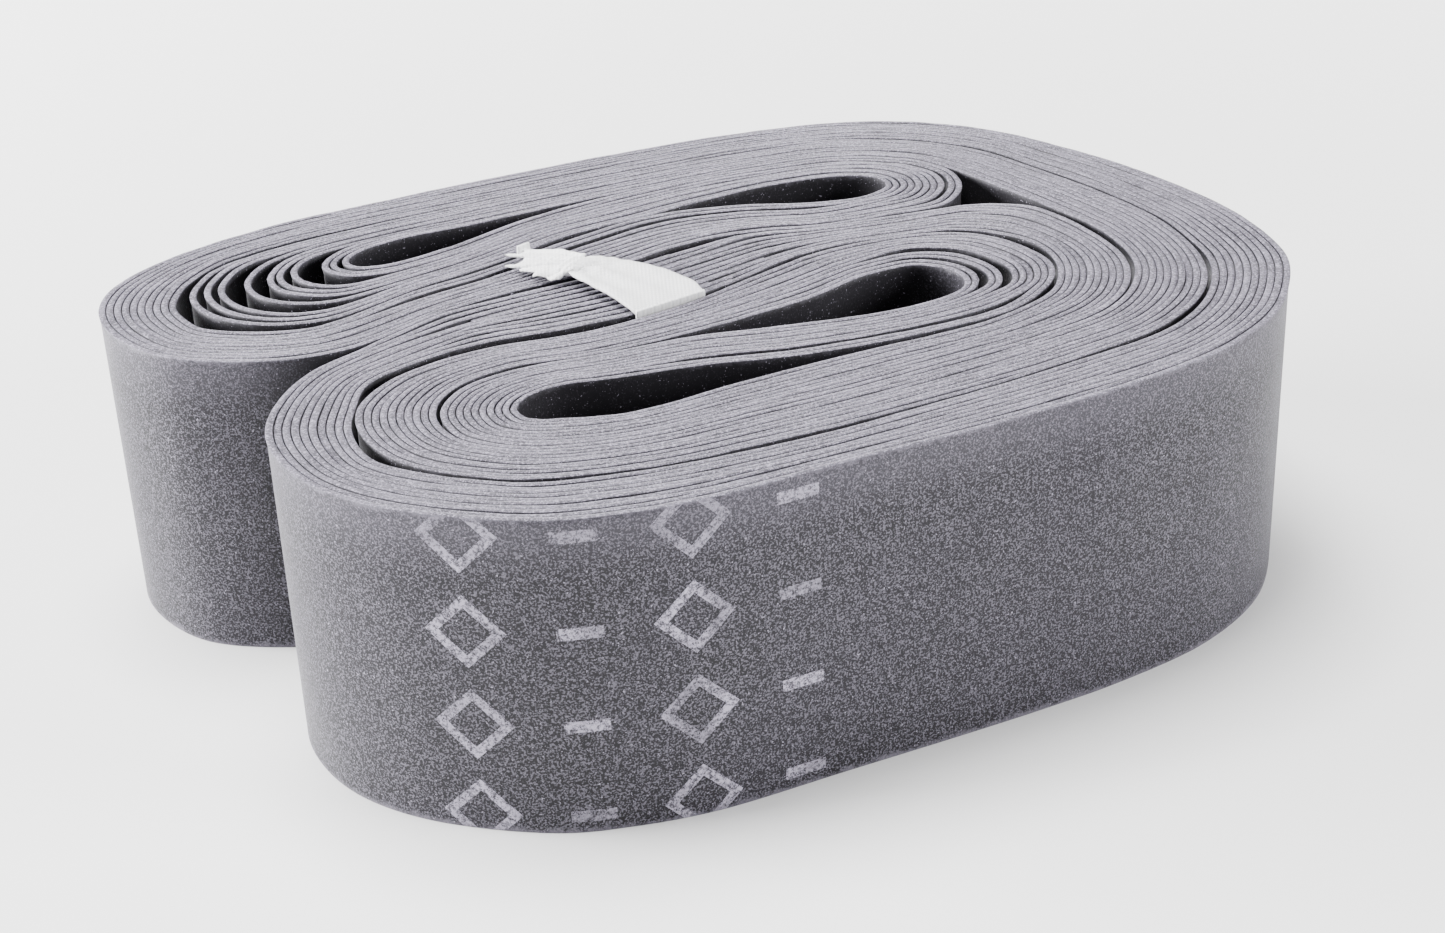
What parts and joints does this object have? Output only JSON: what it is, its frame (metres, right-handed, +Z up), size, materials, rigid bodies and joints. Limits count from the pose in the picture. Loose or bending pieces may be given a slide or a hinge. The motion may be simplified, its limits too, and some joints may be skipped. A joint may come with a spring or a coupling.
{
  "type": "rim band bundle",
  "caption": "Bundle of endless flat rubber wheel-rim bands, nested together, folded back and forth on edge into a flat hank and tied round its middle with a torn cloth strip.",
  "frame": {"origin": "centre of the hank's box in plan, on the surface that the bands' lower edges stand on", "axes": "+X along the hank's length, towards its single broad end; +Y towards the back, away from the lobe that holds the front; +Z up, along the width of the bands"},
  "size_m": [0.1399, 0.1074, 0.0403],
  "materials": {
    "band_rubber": "matt charcoal rubber with a bloom of pale talc, thicker on the cut edges",
    "patch_rubber": "matt charcoal rubber, lightly talced",
    "tie_cloth": "white torn cotton strip, matt, with frayed ends"
  },
  "bodies": {
    "root": {"rim_band_01": "band_rubber", "rim_band_02": "band_rubber", "rim_band_03": "band_rubber", "rim_band_04": "band_rubber", "rim_band_05": "band_rubber", "rim_band_06": "band_rubber", "rim_band_07": "band_rubber", "rim_band_08": "band_rubber", "rim_band_09": "band_rubber", "rim_band_10": "band_rubber", "valve_patch_01": "patch_rubber", "valve_patch_02": "patch_rubber", "valve_patch_03": "patch_rubber", "valve_patch_04": "patch_rubber", "valve_patch_05": "patch_rubber", "valve_patch_06": "patch_rubber", "valve_patch_07": "patch_rubber", "valve_patch_08": "patch_rubber", "valve_patch_09": "patch_rubber", "valve_patch_10": "patch_rubber", "tie_strip": "tie_cloth"}
  },
  "joints": []
}
